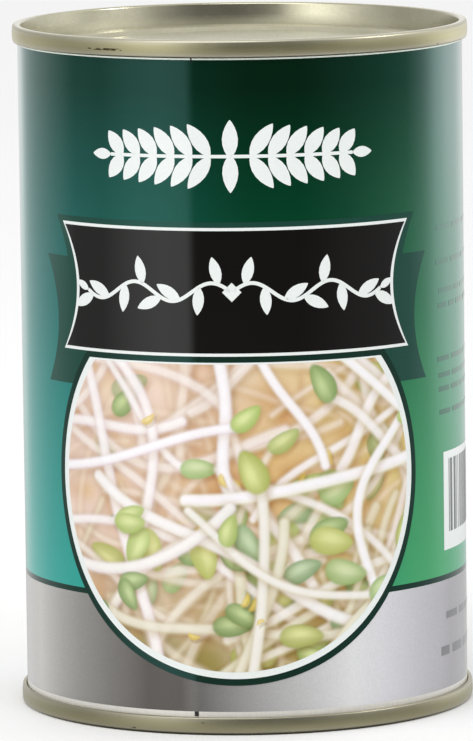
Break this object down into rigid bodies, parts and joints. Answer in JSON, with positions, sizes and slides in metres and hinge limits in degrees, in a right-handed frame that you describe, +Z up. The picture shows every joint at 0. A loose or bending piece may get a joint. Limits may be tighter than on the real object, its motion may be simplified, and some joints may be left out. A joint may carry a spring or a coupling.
{
  "type": "sealed steel food can of bean sprouts",
  "caption": "Sealed cylindrical steel food can with a printed body and plain double-seamed ends, for storing preserved bean sprouts.",
  "frame": {"origin": "centre of the footprint, on the surface that the can stands on", "axes": "+Z up along the can's axis of turning, -Y out of the front of the label"},
  "size_m": [0.075, 0.075, 0.1127],
  "materials": {
    "printed_tinplate": "steel plate printed with a green picture label under clear gloss varnish",
    "lacquered_tinplate": "tinned steel under clear gold food lacquer",
    "sealing_compound": "dried rubber sealing compound",
    "sprouts_and_brine": "wet packed sprouts in salted water"
  },
  "bodies": {
    "root": {"can_body": "printed_tinplate", "top_end": "lacquered_tinplate", "bottom_end": "lacquered_tinplate", "top_sealing_ring": "sealing_compound", "bottom_sealing_ring": "sealing_compound", "sprouts_in_brine": "sprouts_and_brine"}
  },
  "joints": []
}
